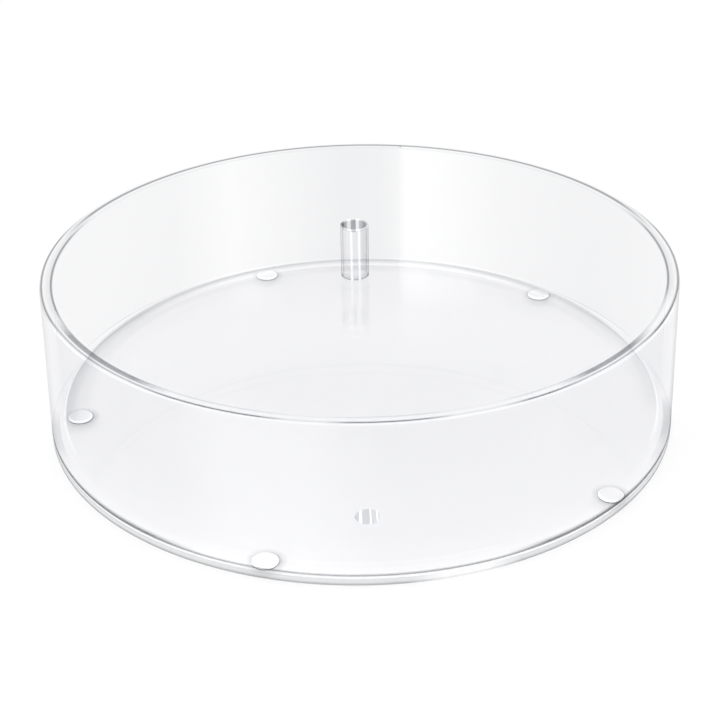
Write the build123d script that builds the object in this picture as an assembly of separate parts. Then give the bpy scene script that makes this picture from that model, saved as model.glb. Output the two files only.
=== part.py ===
from build123d import *
import os
from math import cos, degrees, radians, sin

os.makedirs("parts", exist_ok=True)

# Clear acrylic lazy susan: a walled tray that turns on glide pads over a flat base.
# The origin is the middle of the base's underside and +Z is up.
# The tube and the floor plug lie on the tray's Y diameter, the tube at the back.

# Driving dimensions in millimetres and degrees
tray_diameter = 300.0
overall_height = 76.5
wall_thickness = 6.0
wall_draw_in = 2.0
floor_thickness = 3.0
base_thickness = 3.0
rim_ease = 0.8
edge_ease = 0.4
cement_gap = 0.05

seam_width = 0.8
seam_angle = 79.7

# Each glide pad has an angle and a distance from the base's edge: one is stuck further in
glide_diameter = 11.2
glide_thickness = 1.5
glide_bevel = 0.5
glide_edge_inset = 1.5
glide_deep_inset = 8.1
glide_places = (
    (45.6, glide_edge_inset),
    (110.3, glide_edge_inset),
    (186.9, glide_deep_inset),
    (252.3, glide_edge_inset),
    (318.9, glide_edge_inset),
)

pivot_diameter = 3.0
pivot_clearance = 0.05
pivot_engagement = 1.4
pivot_end_gap = 0.3
pivot_chamfer = 0.4

tube_diameter = 15.5
tube_wall = 1.0
tube_length = 30.5
tube_wall_distance = 11.4

hole_diameter = 11.5
hole_wall_distance = 27.0
plug_chamfer = 0.2

# Levels and radii that follow from them
outer_radius = tray_diameter / 2
inner_radius = outer_radius - wall_thickness
rim_radius = outer_radius - wall_draw_in
base_top = base_thickness
tray_bottom = base_top + glide_thickness
floor_top = tray_bottom + floor_thickness
wall_height = overall_height - tray_bottom
wall_lean = wall_draw_in / wall_height
floor_radius = inner_radius - wall_lean * floor_thickness - cement_gap
tube_offset = inner_radius - tube_wall_distance - tube_diameter / 2
hole_offset = inner_radius - hole_wall_distance - hole_diameter / 2

stand_up = (Align.CENTER, Align.CENTER, Align.MIN)


def disc(radius, height, level):
    return Pos(0, 0, level) * Cylinder(radius, height, align=stand_up)


def ease_edges(solid, size, level):
    rims = solid.edges().filter_by(GeomType.CIRCLE).filter_by_position(Axis.Z, level, level)
    return chamfer(rims, size)


# Base: flat disc with the tray's own diameter and both edges eased
def make_base_disc():
    plate = disc(outer_radius, base_thickness, 0)
    return ease_edges(ease_edges(plate, edge_ease, 0), edge_ease, base_top)


# Pivot: plain pin on the base, with a lead-in chamfer for the recess above it
def make_centre_pivot():
    height = glide_thickness + pivot_engagement
    pin = disc(pivot_diameter / 2, height, base_top)
    return ease_edges(pin, pivot_chamfer, base_top + height)


# Glide pad: low disc with a bevelled upper edge, as thick as the running gap
def make_glide_pad(angle, inset):
    pad = ease_edges(disc(glide_diameter / 2, glide_thickness, base_top), glide_bevel, tray_bottom)
    reach = outer_radius - inset - glide_diameter / 2
    return Pos(reach * cos(radians(angle)), reach * sin(radians(angle)), 0) * pad


# Floor: disc cemented inside the wall, drilled near the front, with a blind pivot recess below
def make_tray_floor():
    plate = disc(floor_radius, floor_thickness, tray_bottom)
    hole = Pos(0, -hole_offset, 0) * disc(hole_diameter / 2, floor_thickness, tray_bottom)
    recess = disc(pivot_diameter / 2 + pivot_clearance, pivot_engagement + pivot_end_gap, tray_bottom)
    return plate - hole - recess


# Plug: short rod cemented in the drilled hole, flush with both faces of the floor
def make_floor_plug():
    rod = disc(hole_diameter / 2 - cement_gap, floor_thickness, tray_bottom)
    return Pos(0, -hole_offset, 0) * ease_edges(rod, plug_chamfer, floor_top)


# Wall section: strip that leans in slightly towards the rim, with its four edges eased
def wall_section():
    corners = [(outer_radius, tray_bottom), (rim_radius, overall_height),
               (rim_radius - wall_thickness, overall_height), (inner_radius, tray_bottom)]
    strip = make_face(Polyline(*corners, close=True))
    strip = chamfer(strip.vertices().group_by(Axis.Y)[-1], rim_ease)
    strip = chamfer(strip.vertices().group_by(Axis.Y)[0], edge_ease)
    return Plane.XZ * strip


def wall_arc(start, sweep):
    return Rot(0, 0, start) * revolve(wall_section(), Axis.Z, sweep)


seam_sweep = degrees(seam_width / inner_radius)


# Wall: rolled sheet, open at its butt joint
def make_tray_wall():
    return wall_arc(seam_angle + seam_sweep / 2, 360 - seam_sweep)


# Seam: cement that fills the butt joint, flush with both faces and the rim
def make_wall_seam():
    return wall_arc(seam_angle - seam_sweep / 2, seam_sweep)


# Tube: open post cemented upright on the floor, its outer top edge eased
def make_post_tube():
    top = floor_top + tube_length
    outside = ease_edges(disc(tube_diameter / 2, tube_length, floor_top), edge_ease, top)
    inside = disc(tube_diameter / 2 - tube_wall, tube_length, floor_top)
    return Pos(0, tube_offset, 0) * (outside - inside)


pieces = {
    "base_disc": make_base_disc(),
    "centre_pivot": make_centre_pivot(),
    "tray_floor": make_tray_floor(),
    "floor_plug": make_floor_plug(),
    "tray_wall": make_tray_wall(),
    "wall_seam": make_wall_seam(),
    "post_tube": make_post_tube(),
}
for number, (angle, inset) in enumerate(glide_places, start=1):
    pieces[f"glide_pad_{number}"] = make_glide_pad(angle, inset)

for node, piece in pieces.items():
    piece.label = node
    export_step(piece, f"parts/{node}.step")
    print(node, round(piece.volume, 1))
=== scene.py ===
import bpy
import bmesh
import math
from mathutils import Euler, Matrix, Vector


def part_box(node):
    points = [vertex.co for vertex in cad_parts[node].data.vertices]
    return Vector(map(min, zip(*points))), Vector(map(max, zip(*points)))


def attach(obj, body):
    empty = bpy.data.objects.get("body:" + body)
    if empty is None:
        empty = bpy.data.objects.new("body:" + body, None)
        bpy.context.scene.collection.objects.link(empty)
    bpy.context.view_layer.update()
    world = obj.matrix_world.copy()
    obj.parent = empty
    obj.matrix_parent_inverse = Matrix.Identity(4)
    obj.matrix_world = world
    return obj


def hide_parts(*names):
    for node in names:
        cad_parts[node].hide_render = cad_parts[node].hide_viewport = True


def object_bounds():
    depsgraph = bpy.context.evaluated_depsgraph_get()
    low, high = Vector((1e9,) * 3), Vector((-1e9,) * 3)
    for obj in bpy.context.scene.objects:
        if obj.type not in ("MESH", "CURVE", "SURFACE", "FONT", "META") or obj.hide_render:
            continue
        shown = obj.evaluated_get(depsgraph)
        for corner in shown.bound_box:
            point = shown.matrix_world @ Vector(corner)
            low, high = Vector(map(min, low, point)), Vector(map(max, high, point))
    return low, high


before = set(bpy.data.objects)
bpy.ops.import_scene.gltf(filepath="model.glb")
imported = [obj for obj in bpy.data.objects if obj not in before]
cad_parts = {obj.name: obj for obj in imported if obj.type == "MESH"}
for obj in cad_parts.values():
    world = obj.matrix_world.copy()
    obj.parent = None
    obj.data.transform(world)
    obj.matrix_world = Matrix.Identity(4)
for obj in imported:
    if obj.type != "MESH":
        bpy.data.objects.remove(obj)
cadLow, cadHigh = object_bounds()
mm = 0.001
perMetre = 1000

# levels and radii read from the frame
outerRadius = round(cadHigh.x, 4)
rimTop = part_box("tray_wall")[1].z
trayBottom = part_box("tray_floor")[0].z
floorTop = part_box("tray_floor")[1].z
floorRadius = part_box("tray_floor")[1].x
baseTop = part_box("base_disc")[1].z
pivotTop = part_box("centre_pivot")[1].z

# wall sizes that its box doesn't give
wallThickness = 6.0 * mm
innerRadius = outerRadius - wallThickness
rimRadius = 148.0 * mm

# limits that tell edges and faces apart
limits = {
    "merge": 1e-5,
    "sameLevel": 1e-6,
    "sameRadius": 2e-5,
    "sharpTurn": 1.0,
    "smoothTurn": math.radians(6),
    "eased": (0.02, 0.98),     # upward share of an eased face's normal
}


# shared helpers
def addObject(name, bm, material, body):
    mesh = bpy.data.meshes.new(name)
    bm.to_mesh(mesh)
    bm.free()
    piece = bpy.data.objects.new(name, mesh)
    bpy.context.scene.collection.objects.link(piece)
    if material is not None:
        mesh.materials.append(material)
    if body is not None:
        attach(piece, body)
    return piece


def latheProfile(points, segments, closed=False):
    bm = bmesh.new()
    verts = [bm.verts.new((r, 0, z)) for r, z in points]
    pairs = list(zip(verts, verts[1:]))
    if closed:
        pairs.append((verts[-1], verts[0]))
    edges = [bm.edges.new(pair) for pair in pairs]
    bmesh.ops.spin(bm, geom=verts + edges, cent=(0, 0, 0), axis=(0, 0, 1), dvec=(0, 0, 0),
                   angle=2 * math.pi, steps=segments, use_merge=True, use_duplicate=False)
    bmesh.ops.remove_doubles(bm, verts=bm.verts, dist=limits["merge"])
    bmesh.ops.recalc_face_normals(bm, faces=bm.faces)
    return bm


def isRing(edge):
    a, b = edge.verts
    level = abs(a.co.z - b.co.z) < limits["sameLevel"]
    return level and abs(a.co.xy.length - b.co.xy.length) < limits["sameRadius"]


def easeRings(bm, size, segments, low=-math.inf, high=math.inf):
    rings = [e for e in bm.edges if isRing(e) and len(e.link_faces) == 2 and e.is_convex
             and e.calc_face_angle() > limits["sharpTurn"] and low < e.verts[0].co.z < high]
    bmesh.ops.bevel(bm, geom=rings, offset=size, offset_type="OFFSET", affect="EDGES",
                    segments=segments, profile=0.5, material=-1)


def isEased(face):
    low, high = limits["eased"]
    return low < abs(face.normal.z) < high


def shadeByShape(bm):
    bm.normal_update()
    for face in bm.faces:
        face.smooth = True
    for edge in bm.edges:
        faces = edge.link_faces
        if len(faces) == 2:
            bent = edge.calc_face_angle() >= limits["smoothTurn"]
            edge.smooth = not bent or (isEased(faces[0]) and isEased(faces[1]))


def cutAway(piece, cutter):
    cut = piece.modifiers.new(cutter.name, "BOOLEAN")
    cut.operation = "DIFFERENCE"
    cut.solver = "EXACT"
    cut.object = cutter
    bpy.context.view_layer.update()
    solid = piece.evaluated_get(bpy.context.evaluated_depsgraph_get())
    mesh = bpy.data.meshes.new_from_object(solid)
    piece.modifiers.clear()
    old, piece.data = piece.data, mesh
    bpy.data.meshes.remove(old)
    bpy.data.objects.remove(cutter)
    bm = bmesh.new()
    bm.from_mesh(piece.data)
    shadeByShape(bm)
    bm.to_mesh(piece.data)
    bm.free()


# node helpers: a socket is linked, anything else is set
def feed(tree, slot, value):
    if isinstance(value, bpy.types.NodeSocket):
        tree.links.new(value, slot)
    else:
        slot.default_value = value


def addNode(tree, kind, **values):
    node = tree.nodes.new(kind)
    for name, value in values.items():
        feed(tree, node.inputs[name.replace("_", " ")], value)
    return node


def addGroup(tree, group):
    node = tree.nodes.new("ShaderNodeGroup")
    node.node_tree = group
    return node


def addMath(tree, operation, *values):
    node = tree.nodes.new("ShaderNodeMath")
    node.operation = operation
    for slot, value in zip(node.inputs, values):
        feed(tree, slot, value)
    return node.outputs[0]


def addProduct(tree, first, second):
    return addMath(tree, "MULTIPLY", first, second)


def addSum(tree, first, second):
    return addMath(tree, "ADD", first, second)


def addMix(tree, mask, first, second, kind="FLOAT"):
    node = tree.nodes.new("ShaderNodeMix")
    node.data_type = kind
    for name, value in (("Factor", mask), ("A", first), ("B", second)):
        feed(tree, node.inputs[name], value)
    return node.outputs["Result"]


def addDistance(tree, vector, origin=(0, 0, 0)):
    node = tree.nodes.new("ShaderNodeVectorMath")
    node.operation = "DISTANCE"
    feed(tree, node.inputs[0], vector)
    feed(tree, node.inputs[1], origin)
    return node.outputs["Value"]


def addAround(tree, vector):
    node = addNode(tree, "ShaderNodeTexGradient", Vector=vector)
    node.gradient_type = "RADIAL"
    return node.outputs["Fac"]


# place in mm from an origin, whole and by axis
def addPlace(tree, origin=(0, 0, 0)):
    place = tree.nodes.new("ShaderNodeTexCoord")
    shift = [-perMetre * part for part in origin]
    grow = addNode(tree, "ShaderNodeMapping", Vector=place.outputs["Object"], Location=shift,
                   Scale=[perMetre] * 3)
    split = addNode(tree, "ShaderNodeSeparateXYZ", Vector=grow.outputs["Vector"])
    return grow.outputs["Vector"], split.outputs


def addRamp(tree, measure, stops):
    ramp = addNode(tree, "ShaderNodeValToRGB", Fac=measure)
    elements = ramp.color_ramp.elements
    while len(elements) < len(stops):
        elements.new(0.5)
    for element, (place, tone) in zip(elements, stops):
        element.position = place
        element.color = (tone, tone, tone, 1)
    return ramp.outputs["Color"]


# tones along any measure, each given at its own place
def addBands(tree, measure, stops):
    low, high = stops[0][0], stops[-1][0]
    span = addNode(tree, "ShaderNodeMapRange", Value=measure, From_Min=low, From_Max=high)
    shares = [((place - low) / (high - low), tone) for place, tone in stops]
    return addRamp(tree, span.outputs["Result"], shares)


# several of a piece's bands along the same measure
def addEach(tree, measure, settings, *names):
    return [addBands(tree, measure, settings[name]) for name in names]


# clear sheet that all the acrylic shares
acrylic = {
    "tint": (0.994, 0.994, 0.999, 1),
    # the painted shade lines take this bluer tint
    "deepTint": (0.92, 0.945, 1.0, 1),     # dark lines lean to blue
    "sheetIor": 1.0002,     # sheets bend the view too little to see
    "haze": 0.012,
    "filmScale": 90.0,
    "filmDetail": 3.0,
    "waveScale": 14.0,
    "waveDetail": 1.0,
    "absorbColour": (0.58, 0.58, 0.60, 1),
}

# y in mm from where the front's tones give way to the back's
backStart = (-40.0, -18.0)


# film on the faces and slow waves in the sheet
def makeSheetFinish():
    group = bpy.data.node_groups.new("sheetFinish", "ShaderNodeTree")
    ways = {"Haze": "INPUT", "Wave Scale": "INPUT", "Roughness": "OUTPUT", "Height": "OUTPUT"}
    for name, way in ways.items():
        group.interface.new_socket(name=name, in_out=way, socket_type="NodeSocketFloat")
    start = group.nodes.new("NodeGroupInput").outputs
    end = group.nodes.new("NodeGroupOutput").inputs
    place = group.nodes.new("ShaderNodeTexCoord").outputs["Object"]
    film = addNode(group, "ShaderNodeTexNoise", Vector=place, Scale=acrylic["filmScale"],
                   Detail=acrylic["filmDetail"])
    wave = addNode(group, "ShaderNodeTexNoise", Vector=place, Scale=start["Wave Scale"],
                   Detail=acrylic["waveDetail"])
    feed(group, end["Roughness"], addProduct(group, film.outputs["Fac"], start["Haze"]))
    feed(group, end["Height"], wave.outputs["Fac"])
    return group


# place on the turntable in mm and degrees, and how far it lies on the back half
def makeRingPlace():
    group = bpy.data.node_groups.new("ringPlace", "ShaderNodeTree")
    for name in ("Radius", "Turn", "Height", "Back"):
        group.interface.new_socket(name=name, in_out="OUTPUT", socket_type="NodeSocketFloat")
    end = group.nodes.new("NodeGroupOutput").inputs
    whole, axes = addPlace(group)
    flat = addNode(group, "ShaderNodeCombineXYZ", X=axes["X"], Y=axes["Y"])
    turn = addNode(group, "ShaderNodeMapRange", Value=addAround(group, whole), To_Min=-180.0, To_Max=180.0)
    back = addNode(group, "ShaderNodeMapRange", Value=axes["Y"], From_Min=backStart[0], From_Max=backStart[1])
    feed(group, end["Radius"], addDistance(group, flat.outputs["Vector"]))
    feed(group, end["Turn"], turn.outputs["Result"])
    feed(group, end["Height"], axes["Z"])
    feed(group, end["Back"], back.outputs["Result"])
    return group


sheetFinish = makeSheetFinish()
ringPlace = makeRingPlace()
print("shared nodes ready")


def newMaterial(name, **values):
    material = bpy.data.materials.new(name)
    material.use_nodes = True
    tree = material.node_tree
    shader = tree.nodes["Principled BSDF"]
    for slot, value in values.items():
        shader.inputs[slot.replace("_", " ")].default_value = value
    return material, tree, shader.inputs


def makeAcrylic(name, absorb=0.0, waveDepth=0.0):
    material, tree, shader = newMaterial(name, Base_Color=acrylic["tint"], IOR=acrylic["sheetIor"],
                                         Transmission_Weight=1.0, Coat_Roughness=0.0)
    finish = addGroup(tree, sheetFinish)
    finish.inputs["Haze"].default_value = acrylic["haze"]
    finish.inputs["Wave Scale"].default_value = acrylic["waveScale"]
    feed(tree, shader["Roughness"], finish.outputs["Roughness"])
    if waveDepth > 0:
        bump = addNode(tree, "ShaderNodeBump", Strength=1.0, Distance=waveDepth,
                       Height=finish.outputs["Height"])
        feed(tree, shader["Normal"], bump.outputs["Normal"])
    if absorb > 0:
        soak = addNode(tree, "ShaderNodeVolumeAbsorption", Color=acrylic["absorbColour"], Density=absorb)
        feed(tree, tree.nodes["Material Output"].inputs["Volume"], soak.outputs["Volume"])
    return material, tree, shader


# tone tints the sheet with painted light and shade, its dark lines more than its light ones, and glow adds
# painted light to it
def setTone(tree, shader, tone, glow=None):
    tinted = tree.nodes.new("ShaderNodeVectorMath")
    tinted.operation = "SCALE"
    feed(tree, tinted.inputs[0], addMix(tree, tone, acrylic["deepTint"], acrylic["tint"], "RGBA"))
    feed(tree, tinted.inputs["Scale"], tone)
    feed(tree, shader["Base Color"], tinted.outputs["Vector"])
    if glow is not None:
        shader["Emission Strength"].default_value = 1.0
        feed(tree, shader["Emission Color"], glow)


# base: flat disc under the tray, with painted shade lines and a painted glint along its edge
base = {
    "segments": 384,
    "ease": 0.4 * mm,
    "easeSteps": 3,
    "padBite": 0.02 * mm,
    "absorb": 2.0,
    # painted shade lines up the edge by height in mm, front and back, and a painted glint by degrees
    "edgeFront": [(0.0, 0.75), (0.25, 0.32), (0.7, 0.26), (1.1, 0.40), (1.5, 0.58), (2.6, 0.70),
                  (3.1, 0.60)],
    "edgeGlint": [(0.0, 0.95), (0.4, 0.74), (0.9, 0.74), (1.4, 1.0), (3.1, 1.0)],
    "edgeBack": [(0.0, 0.95), (0.8, 0.93), (1.2, 1.0), (3.1, 1.0)],
    "edgeStart": [(149.2, 0.0), (149.6, 1.0)],
    "topStart": [(2.8, 0.0), (2.9, 1.0)],
    "glint": [(-84, 0.0), (-78, 1.0), (-71, 1.0), (-65, 0.0)],
    # shade that the pads throw on the base, in mm from a pad's middle
    "padShade": [(4.9, 0.20), (5.7, 0.40), (6.7, 0.74), (9.2, 1.0)],
    "shadeShift": (0.4 * mm, 0.9 * mm, 0),
}


def addPadShade(tree, height):
    place = tree.nodes.new("ShaderNodeTexCoord").outputs["Object"]
    nearest = None
    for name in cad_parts:
        if name.startswith("glide_pad"):
            low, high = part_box(name)
            middle = (low + high) / 2 + Vector(base["shadeShift"])
            away = addDistance(tree, place, (middle.x, middle.y, baseTop))
            nearest = away if nearest is None else addMath(tree, "MINIMUM", nearest, away)
    shade = addBands(tree, nearest, [(at * mm, tone) for at, tone in base["padShade"]])
    return addMix(tree, addBands(tree, height, base["topStart"]), 1.0, shade)


# painted edge lines and glint, and painted pad shadows on the top
def makeBaseAcrylic():
    material, tree, shader = makeAcrylic("baseAcrylic", absorb=base["absorb"])
    place = addGroup(tree, ringPlace).outputs
    front, bright, back = addEach(tree, place["Height"], base, "edgeFront", "edgeGlint", "edgeBack")
    glint = addBands(tree, place["Turn"], base["glint"])
    onEdge = addBands(tree, place["Radius"], base["edgeStart"])
    edgeTone = addMix(tree, place["Back"], addMix(tree, glint, front, bright), back)
    setTone(tree, shader, addMix(tree, onEdge, addPadShade(tree, place["Height"]), edgeTone))
    return material


def makeBase():
    top = baseTop + base["padBite"]
    bm = latheProfile([(0, top), (outerRadius, top), (outerRadius, 0), (0, 0)], base["segments"])
    easeRings(bm, base["ease"], base["easeSteps"])
    shadeByShape(bm)
    piece = addObject("baseDisc", bm, makeBaseAcrylic(), "base")
    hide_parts("base_disc")


# pivot: clear pin on the base
pivot = {"radius": 1.5 * mm, "chamfer": 0.4 * mm, "segments": 64}
clearAcrylic = makeAcrylic("pivotAcrylic")[0]


def makePivot():
    radius = pivot["radius"]
    tip = radius - pivot["chamfer"]
    low = baseTop + 2 * base["padBite"]
    bm = latheProfile([(0, pivotTop), (tip, pivotTop), (radius, pivotTop - pivot["chamfer"]),
                       (radius, low), (0, low)], pivot["segments"])
    shadeByShape(bm)
    piece = addObject("centrePivot", bm, clearAcrylic, "base")
    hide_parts("centre_pivot")


# floor: clear sheet, drilled for the plug and recessed for the pivot
floor = {
    "segments": 384,
    "padAir": 0.03 * mm,         # running gap over the pads
    "pivotAir": 0.05 * mm,
    "pivotEndAir": 0.3 * mm,
    "holeRadius": 5.75 * mm,
    "holeSegments": 96,
    "topStart": [(7.3, 0.0), (7.45, 1.0)],
    "sideStart": [(143.7, 0.0), (143.8, 1.0)],
    "recess": [(1.8, 1.0), (2.0, 0.0)],
    "coat": [(25.0, 0.35), (75.0, 1.0)],     # glossier towards the back
    "coatIor": 1.65,
    "wave": 0.02 * mm,
    # tone of the plain sheet, and painted shade on its front in mm and degrees
    "tone": 0.975,
    "toneReach": [(14.0, 0.0), (70.0, 1.0)],
    "front": [(40.0, 0.925), (100.0, 0.948), (143.9, 0.955)],
    "frontEdge": [(116.0, 0.0), (133.0, 0.4), (143.9, 1.0)],
    "frontTurn": [(-180, 0.985), (-150, 0.995), (-128, 0.99), (-112, 0.98), (-70, 0.98), (-54, 0.99),
                  (-30, 0.995), (0, 0.985)],
    # shade by the tube's foot
    "tubeShade": [(0.0, 0.78), (0.35, 0.86), (1.0, 1.0)],
    "shadeReach": (36.0, 5.0, 20.0),
    "shadeBack": 8.0 * mm,
    # painted shade lines near the edge, in mm and degrees
    "sideBack": [(4.5, 1.0), (6.7, 1.0), (7.0, 0.75), (7.5, 0.72)],
    "topEdge": [(122.0, 1.0), (133.8, 0.90), (135.4, 0.93), (136.6, 1.0), (140.2, 1.0), (141.2, 0.72),
                (143.9, 0.60)],
    "sideEdge": [(130.0, 1.0), (136.5, 0.84), (140.5, 0.58), (142.6, 0.46), (143.2, 0.95), (143.9, 0.95)],
    "edgeTurn": [(-180, 0.9), (-165, 0.7), (-150, 0.1), (-14, 0.2), (5, 0.5), (45, 0.8), (70, 0.9),
                 (82, 0.6), (98, 0.6), (112, 1.0), (150, 1.0), (180, 0.9)],
    # painted highlight lines beside them
    "topGlow": [(136.0, 0.0), (137.0, 0.06), (139.8, 0.06), (140.6, 0.0)],
    "glowTurn": [(30, 0.0), (56, 1.0), (122, 1.0), (146, 0.0)],
    "sideGlow": [(142.5, 0.0), (142.9, 0.12), (143.9, 0.12)],
    "sideTurn": [(-180, 1.0), (-163, 1.0), (-154, 0.0), (-26, 0.0), (-17, 1.0), (18, 1.0), (40, 0.0),
                 (140, 0.0), (162, 1.0), (180, 1.0)],
    # wall's light mirrored in the floor, across and along the view
    "gleam": [(-74.0, 0.0), (-62.0, 0.035), (-52.0, 0.035), (-40.0, 0.0), (24.6, 0.0), (25.3, 0.05),
              (29.0, 0.075), (38.0, 0.085), (42.0, 0.06), (60.0, 0.05), (70.0, 0.0)],
    "gleamReach": [(78.0, 0.0), (95.0, 0.4), (115.0, 0.9), (140.0, 1.0)],
}


# soft shade on both sides of the tube's foot
def addTubeShade(tree):
    low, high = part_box("post_tube")
    place = tree.nodes.new("ShaderNodeTexCoord").outputs["Object"]
    reach = [perMetre / step for step in floor["shadeReach"]]
    middle = (low.y + high.y) / 2 + floor["shadeBack"]
    spread = addNode(tree, "ShaderNodeMapping", Vector=place, Scale=reach,
                     Location=(0, -reach[1] * middle, -reach[2] * low.z))
    return addBands(tree, addDistance(tree, spread.outputs["Vector"]), floor["tubeShade"])


# painted shade lines near the floor's edge, with the painted shade by the tube's foot
def addFloorLines(tree, place, onTop, atBack):
    side = addBands(tree, place["Height"], floor["sideBack"])
    onSide, sideEdge, topEdge = addEach(tree, place["Radius"], floor, "sideStart", "sideEdge", "topEdge")
    top = addProduct(tree, addTubeShade(tree), addMix(tree, atBack, sideEdge, topEdge))
    lines = addProduct(tree, addMix(tree, onTop, 1.0, top), addMix(tree, onSide, 1.0, side))
    return addMix(tree, addBands(tree, place["Turn"], floor["edgeTurn"]), 1.0, lines)


# plain tone, with painted shade on the front
def addFloorTone(tree, place, axes, onTop):
    front, frontEdge = addEach(tree, place["Radius"], floor, "front", "frontEdge")
    front = addMix(tree, frontEdge, front, addBands(tree, place["Turn"], floor["frontTurn"]))
    plain = addMix(tree, addBands(tree, axes["Y"], floor["toneReach"]), front, floor["tone"])
    # top face carries both faces' tone
    return addMix(tree, onTop, 1.0, addProduct(tree, plain, plain))


# painted highlight lines, and the painted reflection of the wall's light
def addFloorGlow(tree, place, axes, atBack):
    topGlow, sideGlow = addEach(tree, place["Radius"], floor, "topGlow", "sideGlow")
    ring = addProduct(tree, atBack, topGlow)
    line = addProduct(tree, addBands(tree, place["Turn"], floor["sideTurn"]), sideGlow)
    gleam = addProduct(tree, addBands(tree, axes["X"], floor["gleam"]),
                       addBands(tree, axes["Y"], floor["gleamReach"]))
    return addSum(tree, addSum(tree, ring, line), gleam)


def makeFloorAcrylic():
    material, tree, shader = makeAcrylic("floorAcrylic", waveDepth=floor["wave"])
    axes = addPlace(tree)[1]
    place = addGroup(tree, ringPlace).outputs
    onTop = addBands(tree, place["Height"], floor["topStart"])
    inRecess = addBands(tree, place["Radius"], floor["recess"])
    atBack = addBands(tree, place["Turn"], floor["glowTurn"])
    coated = addMix(tree, inRecess, 1.0, onTop)
    shader["Coat IOR"].default_value = floor["coatIor"]
    feed(tree, shader["Coat Weight"], addProduct(tree, coated, addBands(tree, axes["Y"], floor["coat"])))
    lines = addMix(tree, place["Back"], 1.0, addFloorLines(tree, place, onTop, atBack))
    tone = addProduct(tree, addFloorTone(tree, place, axes, onTop), lines)
    setTone(tree, shader, tone, addProduct(tree, onTop, addFloorGlow(tree, place, axes, atBack)))
    return material


def makeFloor():
    low = trayBottom + floor["padAir"]
    recess = pivot["radius"] + floor["pivotAir"]
    recessTop = pivotTop + floor["pivotEndAir"]
    bm = latheProfile([(0, floorTop), (floorRadius, floorTop), (floorRadius, low), (recess, low),
                       (recess, recessTop), (0, recessTop)], floor["segments"])
    piece = addObject("trayFloor", bm, makeFloorAcrylic(), "tray")
    cutAway(piece, makeHoleCutter())
    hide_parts("tray_floor")


def makeHoleCutter():
    low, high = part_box("floor_plug")
    bm = bmesh.new()
    bmesh.ops.create_cone(bm, cap_ends=True, segments=floor["holeSegments"], radius1=floor["holeRadius"],
                          radius2=floor["holeRadius"], depth=4 * (high.z - low.z),
                          matrix=Matrix.Translation((low + high) / 2))
    return addObject("holeCutter", bm, None, None)


# wall: rolled sheet with eased edges, slotted for the seam
wall = {
    "segments": 720,
    "rimEase": 0.8 * mm,
    "rimSteps": 4,
    "ease": 0.4 * mm,
    "easeSteps": 2,
    "seamAir": 0.03 * mm,
    "seamWidth": 0.83 * mm,
    "absorb": 1.5,
    "outside": [(146.0, 0.0), (146.2, 1.0)],
    # light and shade round the wall, by degrees from +X
    "round": [(-180, 0.945), (-125, 0.985), (-110, 0.99), (-60, 0.99), (-10, 0.95), (33, 0.90), (57, 0.93),
              (72, 0.97), (79.0, 0.98), (80.4, 0.92), (84, 0.89), (92, 0.88), (103, 0.92), (117, 0.955),
              (132, 0.915), (180, 0.945)],
    "sheen": [(-180, 0.0), (-122, 0.0), (-112, 0.045), (-100, 0.045), (-88, 0.0), (55, 0.0), (70, 0.02),
              (78.5, 0.03), (79.2, 0.0), (104, 0.0), (117, 0.015), (130, 0.0), (180, 0.0)],
    # painted shade on the limbs and a painted dark foot line round the outer face's bottom
    "limb": [(-176, 1.0), (-171, 0.84), (-163, 0.84), (-158, 1.0), (-22, 1.0), (-17, 0.80), (-9, 0.80),
             (-4, 1.0)],
    "footFront": [(4.5, 0.70), (4.8, 0.26), (5.3, 0.20), (5.8, 0.72), (6.3, 1.0)],
    "footDeep": [(4.5, 0.55), (4.8, 0.12), (5.9, 0.10), (6.6, 0.55), (7.8, 1.0)],
    "footTurn": [(-166, 0.0), (-158, 1.0), (-128, 1.0), (-118, 0.0), (-68, 0.0), (-60, 1.0), (-26, 1.0),
                 (-18, 0.0)],
    "footBack": [(4.5, 0.80), (4.9, 0.80), (5.1, 1.0), (6.2, 1.0)],
    "backTurn": [(15, 0.0), (35, 1.0), (145, 1.0), (165, 0.0)],
    "footStart": [(149.5, 0.0), (149.6, 1.0)],
    # shade low on both limbs
    "lowTurn": [(-174, 1.0), (-169, 0.92), (-163, 0.92), (-154, 1.0), (-30, 1.0), (-25, 0.88), (-14, 0.85),
                (-4, 1.0)],
    "lowHeight": [(5.0, 1.0), (20.0, 1.0), (38.0, 0.0)],
    # painted highlight line inside the wall over the floor's edge
    "lineHeight": [(8.2, 0.0), (8.45, 0.10), (8.85, 0.10), (9.1, 0.0)],
    "lineTurn": [(-180, 0.3), (-166, 0.0), (-14, 0.0), (25, 0.7), (50, 1.0), (74, 0.8), (84, 0.15),
                 (100, 0.2), (112, 1.0), (135, 0.8), (155, 0.5), (180, 0.3)],
}
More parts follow.
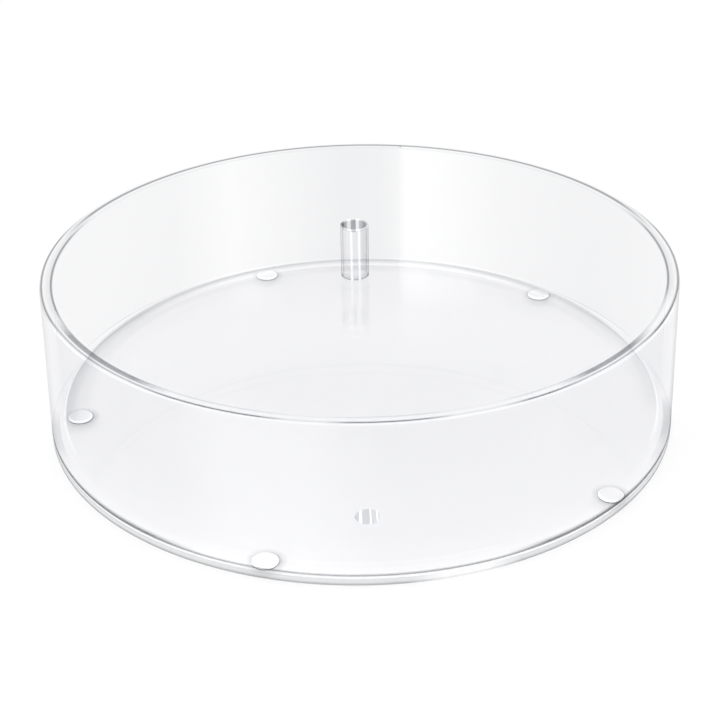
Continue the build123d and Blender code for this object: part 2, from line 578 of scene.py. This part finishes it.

# painted lines of light and shade across the rim in mm from the axis, by where it lies
rim = {
    "back": [(142.0, 0.84), (142.4, 0.86), (142.9, 1.0), (143.5, 0.92), (144.2, 0.40), (144.9, 0.11),
             (145.5, 0.26), (146.3, 0.86), (148.1, 1.0)],
    "side": [(142.0, 0.95), (142.4, 0.22), (142.9, 0.10), (143.4, 0.72), (145.0, 0.84), (146.3, 0.96),
             (146.8, 0.30), (147.3, 0.10), (147.7, 0.74), (148.1, 0.55)],
    "front": [(142.0, 0.94), (142.8, 0.84), (143.2, 0.86), (143.9, 1.0), (145.7, 1.0), (146.2, 0.80),
              (146.7, 0.12), (147.2, 0.08), (147.5, 0.95), (148.1, 1.0)],
    "band": [(142.0, 0.90), (142.6, 0.40), (143.2, 0.20), (144.8, 0.18), (145.2, 0.70), (145.8, 1.0),
             (146.2, 0.45), (146.7, 0.36), (147.1, 1.0), (148.1, 1.0)],
    "backTurn": [(10, 0.0), (24, 1.0), (156, 1.0), (168, 0.0)],
    "frontTurn": [(-162, 0.0), (-152, 1.0), (-24, 1.0), (-15, 0.0)],
    "bandTurn": [(-158, 0.0), (-151, 1.0), (-131, 1.0), (-123, 0.0), (-58, 0.0), (-51, 1.0), (-38, 1.0),
                 (-31, 0.0)],
    "start": [(75.66, 0.0), (75.70, 1.0)],
    "fadeTurn": [(-107, 0.0), (-102, 0.8), (-97, 0.8), (-93, 0.0), (-81, 0.0), (-76, 0.9), (-69, 0.9),
                 (-64, 0.0)],
    "glow": [(143.6, 0.0), (144.3, 0.05), (145.6, 0.06), (146.1, 0.0), (147.3, 0.0), (147.5, 0.11),
             (148.1, 0.11)],
}


# outer face with its painted dark foot line and painted shade on the limbs
def addOutsideTone(tree, place):
    front, deep = addEach(tree, place["Height"], wall, "footFront", "footDeep")
    footBack, lowHeight = addEach(tree, place["Height"], wall, "footBack", "lowHeight")
    atBack, atSide = addEach(tree, place["Turn"], wall, "backTurn", "footTurn")
    limb, lowTurn = addEach(tree, place["Turn"], wall, "limb", "lowTurn")
    atFoot = addBands(tree, place["Radius"], wall["footStart"])
    foot = addMix(tree, place["Back"], front, addMix(tree, atBack, 1.0, footBack))
    foot = addMix(tree, atSide, foot, deep)
    shade = addProduct(tree, limb, addMix(tree, lowHeight, 1.0, lowTurn))
    return addProduct(tree, shade, addMix(tree, atFoot, 1.0, foot))


# painted lines of light and shade on the rim, and a painted highlight glow on its front
def addRimTone(tree, place):
    back, side, front, band = addEach(tree, place["Radius"], rim, "back", "side", "front", "band")
    atBack, atFront, atBand = addEach(tree, place["Turn"], rim, "backTurn", "frontTurn", "bandTurn")
    front = addMix(tree, addBands(tree, place["Turn"], rim["fadeTurn"]), front, 1.0)
    tone = addMix(tree, atFront, addMix(tree, atBack, side, back), front)
    glow = addProduct(tree, atFront, addBands(tree, place["Radius"], rim["glow"]))
    return addMix(tree, atBand, tone, band), glow


# painted light and shade round the wall, painted sheen and highlight line on it, and the rim's painted lines
def makeWallAcrylic():
    material, tree, shader = makeAcrylic("wallAcrylic", absorb=wall["absorb"])
    place = addGroup(tree, ringPlace).outputs
    around, sheen, lineTurn = addEach(tree, place["Turn"], wall, "round", "sheen", "lineTurn")
    outside = addBands(tree, place["Radius"], wall["outside"])
    onRim = addBands(tree, place["Height"], rim["start"])
    line = addProduct(tree, addBands(tree, place["Height"], wall["lineHeight"]), lineTurn)
    sideTone = addProduct(tree, around, addMix(tree, outside, 1.0, addOutsideTone(tree, place)))
    rimTone, rimGlow = addRimTone(tree, place)
    glow = addMix(tree, onRim, addMix(tree, outside, line, sheen), rimGlow)
    setTone(tree, shader, addMix(tree, onRim, sideTone, rimTone), glow)
    return material


def makeWall():
    low = trayBottom + floor["padAir"]
    middle = (low + rimTop) / 2
    bm = latheProfile([(innerRadius, low), (rimRadius - wallThickness, rimTop), (rimRadius, rimTop),
                       (outerRadius, low)], wall["segments"], closed=True)
    easeRings(bm, wall["rimEase"], wall["rimSteps"], low=middle)
    easeRings(bm, wall["ease"], wall["easeSteps"], high=middle)
    piece = addObject("trayWall", bm, makeWallAcrylic(), "tray")
    cutAway(piece, makeSeamCutter())
    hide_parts("tray_wall")


def makeSeamCutter():
    low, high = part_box("wall_seam")
    middle = (low + high) / 2
    angle = math.atan2(middle.y, middle.x)
    width = wall["seamWidth"] + 2 * wall["seamAir"]
    length = 2 * wallThickness
    turn = Matrix.Rotation(angle, 4, "Z") @ Matrix.Translation((innerRadius + wallThickness / 2, 0, middle.z))
    bm = bmesh.new()
    bmesh.ops.create_cube(bm, size=1, matrix=turn @ Matrix.Diagonal((length, width, 2 * rimTop, 1)))
    return addObject("seamCutter", bm, None, None)


# post tube: open tube standing on the floor
tube = {
    "segments": 256,
    "wall": 1.0 * mm,
    "ease": 0.25 * mm,
    "easeSteps": 2,
    "glueAir": 0.02 * mm,
    "absorb": 20.0,
    # painted stripes of reflected light, with painted shade at both edges, from the right edge to the left
    # one, the same front and back
    "paintedBars": [(0.0, 0.50), (0.09, 0.74), (0.14, 0.92), (0.25, 0.92), (0.34, 0.95), (0.365, 1.0), (0.405, 1.0),
             (0.425, 0.985), (0.53, 0.985), (0.555, 1.0), (0.60, 1.0), (0.705, 1.0), (0.775, 0.975),
             (0.86, 0.965), (0.92, 0.76), (1.0, 0.50)],
    # painted highlight on the two bright stripes
    "shine": [(0.0, 0.0), (0.36, 0.0), (0.375, 0.07), (0.40, 0.07), (0.415, 0.0), (0.555, 0.0), (0.57, 0.07),
              (0.595, 0.07), (0.61, 0.0), (1.0, 0.0)],
    "stripes": [(0.345, 1.0), (0.365, 0.0), (0.405, 0.0), (0.425, 1.0), (0.535, 1.0), (0.555, 0.0),
                (0.60, 0.0), (0.62, 1.0)],
    # painted shade low on the tube, and a painted highlight glow on its lip
    "foot": [(0.0, 0.52), (0.4, 0.66), (0.7, 0.84), (2.2, 0.87), (3.4, 0.95), (9.0, 0.94), (16.0, 1.0),
             (30.2, 1.0)],
    "footSide": [(-1.0, 1.0), (1.0, 0.0)],
    "lip": [(29.9, 0.0), (30.2, 0.25)],
    # painted reflection tones on the far inside, across the mouth in mm
    "mouth": [(-6.8, 0.05), (-6.1, 0.08), (-5.7, 0.45), (-4.4, 0.55), (-3.6, 0.95), (-2.0, 0.90),
              (-1.7, 0.50), (0.7, 0.45), (1.0, 1.0), (2.4, 1.0), (2.8, 0.70), (4.4, 0.55), (5.6, 0.40),
              (6.2, 0.45), (6.8, 0.50)],
    "viewSlope": 1.117,
    "mouthStart": [(0.2, 0.0), (0.6, 1.0)],
}


# painted stripes, shine, foot shade and lip highlight, and painted reflections in the mouth
def makeTubeAcrylic():
    material, tree, shader = makeAcrylic("tubeAcrylic", absorb=tube["absorb"])
    low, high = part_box("post_tube")
    middle = (low + high) / 2
    whole, axes = addPlace(tree, (middle.x, middle.y, low.z))
    # turn folded so that front and back run alike from the right edge to the left one
    ahead = addMath(tree, "SUBTRACT", addAround(tree, whole), 0.5)
    turn = addMath(tree, "MULTIPLY", addMath(tree, "ABSOLUTE", ahead), 2.0)
    paintedBars, shine, stripes = addEach(tree, turn, tube, "paintedBars", "shine", "stripes")
    foot, lip = addEach(tree, axes["Z"], tube, "foot", "lip")
    footSide = addProduct(tree, stripes, addBands(tree, axes["Y"], tube["footSide"]))
    foot = addMix(tree, footSide, 1.0, foot)
    mouth = addBands(tree, axes["X"], tube["mouth"])
    # far inside that shows through the mouth alone
    seen = addSum(tree, addProduct(tree, axes["Y"], tube["viewSlope"]), axes["Z"])
    length = perMetre * (high.z - low.z)
    inMouth = addBands(tree, seen, [(length + past, share) for past, share in tube["mouthStart"]])
    tone = addProduct(tree, foot, addMix(tree, inMouth, paintedBars, mouth))
    setTone(tree, shader, tone, addSum(tree, lip, addMix(tree, inMouth, shine, 0.0)))
    return material


def makeTube():
    low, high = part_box("post_tube")
    outer = (high.x - low.x) / 2
    inner = outer - tube["wall"]
    bottom = low.z + tube["glueAir"]
    bm = latheProfile([(outer, bottom), (outer, high.z), (inner, high.z), (inner, bottom)],
                      tube["segments"], closed=True)
    easeRings(bm, tube["ease"], tube["easeSteps"])
    shadeByShape(bm)
    bmesh.ops.translate(bm, verts=bm.verts, vec=((low.x + high.x) / 2, (low.y + high.y) / 2, 0))
    piece = addObject("postTube", bm, makeTubeAcrylic(), "tray")
    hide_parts("post_tube")


# plug: flush rod, with painted stripes of light and shade where light runs through
plug = {
    "segments": 96,
    "ease": 0.2 * mm,
    "easeSteps": 2,
    "air": 0.02 * mm,
    "roughness": 0.02,
    "facesUp": 0.9,
    "paintedBars": [(0.0, 0.35), (0.05, 0.57), (0.165, 0.57), (0.175, 1.0), (0.275, 1.0), (0.295, 0.54),
             (0.565, 0.55), (0.58, 1.0), (0.635, 1.0), (0.65, 0.62), (0.82, 0.66), (0.83, 1.0), (0.885, 1.0),
             (0.90, 0.80)],
    "shine": [(0.0, 0.0), (0.165, 0.0), (0.175, 0.08), (0.275, 0.12), (0.29, 0.0), (0.565, 0.0),
              (0.58, 0.12), (0.635, 0.12), (0.65, 0.0), (0.82, 0.0), (0.83, 0.12), (0.885, 0.12),
              (0.90, 0.0)],
}


# painted stripes and shine on the plug's top face
def makePlugAcrylic():
    material, tree, shader = newMaterial("plugAcrylic", IOR=acrylic["sheetIor"], Transmission_Weight=1.0,
                                         Roughness=plug["roughness"])
    low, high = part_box("floor_plug")
    place = tree.nodes.new("ShaderNodeTexCoord").outputs["Object"]
    split = addNode(tree, "ShaderNodeSeparateXYZ", Vector=place)
    across = addNode(tree, "ShaderNodeMapRange", Value=split.outputs["X"], From_Min=low.x, From_Max=high.x)
    paintedBars, shine = [addRamp(tree, across.outputs["Result"], plug[name]) for name in ("paintedBars", "shine")]
    setTone(tree, shader, paintedBars, shine)
    return material


# barred on its upper face alone
def makePlug():
    low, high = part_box("floor_plug")
    radius = (high.x - low.x) / 2
    bottom = low.z + plug["air"]
    bm = latheProfile([(0, high.z), (radius, high.z), (radius, bottom), (0, bottom)], plug["segments"])
    easeRings(bm, plug["ease"], plug["easeSteps"], low=(low.z + high.z) / 2)
    shadeByShape(bm)
    for face in bm.faces:
        face.material_index = 1 if face.normal.z > plug["facesUp"] else 0
    bmesh.ops.translate(bm, verts=bm.verts, vec=((low.x + high.x) / 2, (low.y + high.y) / 2, 0))
    piece = addObject("floorPlug", bm, clearAcrylic, "tray")
    piece.data.materials.append(makePlugAcrylic())
    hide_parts("floor_plug")


makeBase()
makePivot()
makeFloor()
makeWall()
makeTube()
makePlug()
print("clear pieces modelled")


# pads: white, with a painted highlight on the bevel, painted shade low on the side and painted light on the
# top
glide = {
    "side": [(3.0, 0.06), (3.32, 0.10), (3.5, 0.92), (4.0, 1.0), (4.5, 1.0)],
    "speck": [(0.3, 0.92), (0.7, 0.97)],
    "speckScale": 900.0,
    "speckDetail": 4.0,
    "speckDepth": 0.05 * mm,
    "speckBump": 0.3,
    "roughness": 0.45,
    "sideGlow": [(3.32, 0.0), (3.55, 0.25), (3.9, 0.40), (4.5, 0.40)],
    "topGlow": [(-180, 0.13), (-108, 0.02), (-41, 0.02), (45, 0.16), (110, 0.13), (180, 0.13)],
    "topStart": [(4.45, 0.0), (4.49, 1.0)],
}


# painted shade and painted highlights on the pads, over a random speckled tone
def makeGlideWhite():
    material, tree, shader = newMaterial("glideWhite", Roughness=glide["roughness"], Emission_Strength=1.0)
    place = tree.nodes.new("ShaderNodeTexCoord").outputs["Object"]
    speck = addNode(tree, "ShaderNodeTexNoise", Vector=place, Scale=glide["speckScale"],
                    Detail=glide["speckDetail"]).outputs["Fac"]
    bump = addNode(tree, "ShaderNodeBump", Strength=glide["speckBump"], Distance=glide["speckDepth"],
                   Height=speck)
    spot = addGroup(tree, ringPlace).outputs
    side, onTop, sideGlow = addEach(tree, spot["Height"], glide, "side", "topStart", "sideGlow")
    topGlow = addBands(tree, spot["Turn"], glide["topGlow"])
    feed(tree, shader["Base Color"], addProduct(tree, addRamp(tree, speck, glide["speck"]), side))
    feed(tree, shader["Emission Color"], addMix(tree, onTop, sideGlow, topGlow))
    feed(tree, shader["Normal"], bump.outputs["Normal"])
    return material


# seam: clear cement that carries on the rim's painted lines of light and shade
def makeSeamCement():
    material, tree, shader = makeAcrylic("seamCement")
    place = addGroup(tree, ringPlace).outputs
    onRim = addBands(tree, place["Height"], rim["start"])
    setTone(tree, shader, addMix(tree, onRim, 1.0, addBands(tree, place["Radius"], rim["back"])))
    return material


# pads and seam keep their frame meshes
def dressNode(name, material):
    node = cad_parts[name]
    node.data.materials.clear()
    node.data.materials.append(material)


glideWhite = makeGlideWhite()
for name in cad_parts:
    if name.startswith("glide_pad"):
        dressNode(name, glideWhite)
dressNode("wall_seam", makeSeamCement())
print("pads and seam dressed")

# studio: white paper under a pale dome
studio = {
    "groundRadius": 9.0,
    "groundSegments": 96,
    "groundDrop": 0.3 * mm,
    "groundTone": 0.97,
    "underGlow": 0.72,
    "groundGlow": 0.76,          # share of the paper's white that needs no light
    "glowEdge": 148.0 * mm,
    "glowFade": 2 * mm,
    "dome": 0.80,
    "horizon": 1.0,
    "climb": (0.05, 0.45),       # height on the dome where it dims
    "frontShade": 0.1,
    "frontReach": (-0.35, -0.85),
    "lampAim": (0, 0, 0.04),
}


def makeGround():
    material, tree, shader = newMaterial("groundPaper", Roughness=1.0, Specular_IOR_Level=0.0,
                                         Emission_Strength=1.0)
    place = tree.nodes.new("ShaderNodeTexCoord").outputs["Object"]
    start = studio["glowEdge"]
    beyond = addNode(tree, "ShaderNodeMapRange", Value=addDistance(tree, place), From_Min=start,
                     From_Max=start + studio["glowFade"]).outputs["Result"]
    tone, under, glow = studio["groundTone"], studio["underGlow"], studio["groundGlow"]
    paper = addRamp(tree, beyond, [(0.0, tone * (1 - under)), (1.0, tone * (1 - glow))])
    feed(tree, shader["Base Color"], paper)
    feed(tree, shader["Emission Color"], addRamp(tree, beyond, [(0.0, under), (1.0, glow)]))
    bm = bmesh.new()
    bmesh.ops.create_circle(bm, cap_ends=True, segments=studio["groundSegments"],
                            radius=studio["groundRadius"],
                            matrix=Matrix.Translation((0, 0, -studio["groundDrop"])))
    addObject("ground", bm, material, None)


def makeWorld():
    world = bpy.data.worlds.new("studio")
    bpy.context.scene.world = world
    world.use_nodes = True
    tree = world.node_tree
    back = tree.nodes["Background"].inputs
    back["Color"].default_value = (1, 1, 1, 1)
    place = tree.nodes.new("ShaderNodeTexCoord").outputs["Generated"]
    axes = addNode(tree, "ShaderNodeSeparateXYZ", Vector=place).outputs
    low, high = studio["climb"]
    climb = addNode(tree, "ShaderNodeMapRange", Value=axes["Z"], From_Min=low, From_Max=high,
                    To_Min=studio["horizon"], To_Max=studio["dome"])
    near, far = studio["frontReach"]
    front = addNode(tree, "ShaderNodeMapRange", Value=axes["Y"], From_Min=near, From_Max=far,
                    To_Min=1.0, To_Max=1 - studio["frontShade"])
    front.interpolation_type = "SMOOTHSTEP"
    feed(tree, back["Strength"], addProduct(tree, climb.outputs["Result"], front.outputs["Result"]))


def addLamp(name, place, aim, width, height, power):
    data = bpy.data.lights.new(name, "AREA")
    data.shape = "RECTANGLE"
    data.size = width
    data.size_y = height
    data.energy = power
    lamp = bpy.data.objects.new(name, data)
    bpy.context.scene.collection.objects.link(lamp)
    lamp.location = place
    lamp.rotation_euler = (Vector(aim) - Vector(place)).to_track_quat("-Z", "Y").to_euler()
    lamp.visible_camera = False


lamps = {
    "topBox": {"place": (0, 0.2, 2.4), "size": (2.4, 2.4), "power": 14},
    "leftBox": {"place": (-2.0, -1.2, 1.6), "size": (1.2, 1.8), "power": 14},
    "rightBox": {"place": (2.4, -0.4, 1.4), "size": (1.2, 1.8), "power": 5},
}

makeGround()
makeWorld()
for name, lamp in lamps.items():
    addLamp(name, lamp["place"], studio["lampAim"], *lamp["size"], lamp["power"])
print("studio lit")

# camera at the photograph's angle
view = {
    "eye": (-0.01277, -0.67053, 0.39666),
    "elevation": 29.171,
    "azimuth": -1.066,
    "roll": -0.822,
    "lens": 79.078,
    "sensor": 36,
    "clipStart": 0.01,
    "bounces": 96,
}


def makeCamera():
    data = bpy.data.cameras.new("photoCamera")
    data.sensor_width = view["sensor"]
    data.lens = view["lens"]
    data.clip_start = view["clipStart"]
    camera = bpy.data.objects.new("photoCamera", data)
    bpy.context.scene.collection.objects.link(camera)
    turn = Euler((math.radians(90 - view["elevation"]), 0, math.radians(view["azimuth"]))).to_matrix()
    roll = Matrix.Rotation(math.radians(view["roll"]), 3, "Z")
    camera.matrix_world = Matrix.Translation(view["eye"]) @ (turn @ roll).to_4x4()
    bpy.context.scene.camera = camera


makeCamera()
scene = bpy.context.scene
scene.view_settings.view_transform = "Standard"
scene.cycles.blur_glossy = 0
scene.cycles.max_bounces = view["bounces"]
scene.cycles.transmission_bounces = view["bounces"]
scene.cycles.glossy_bounces = view["bounces"]
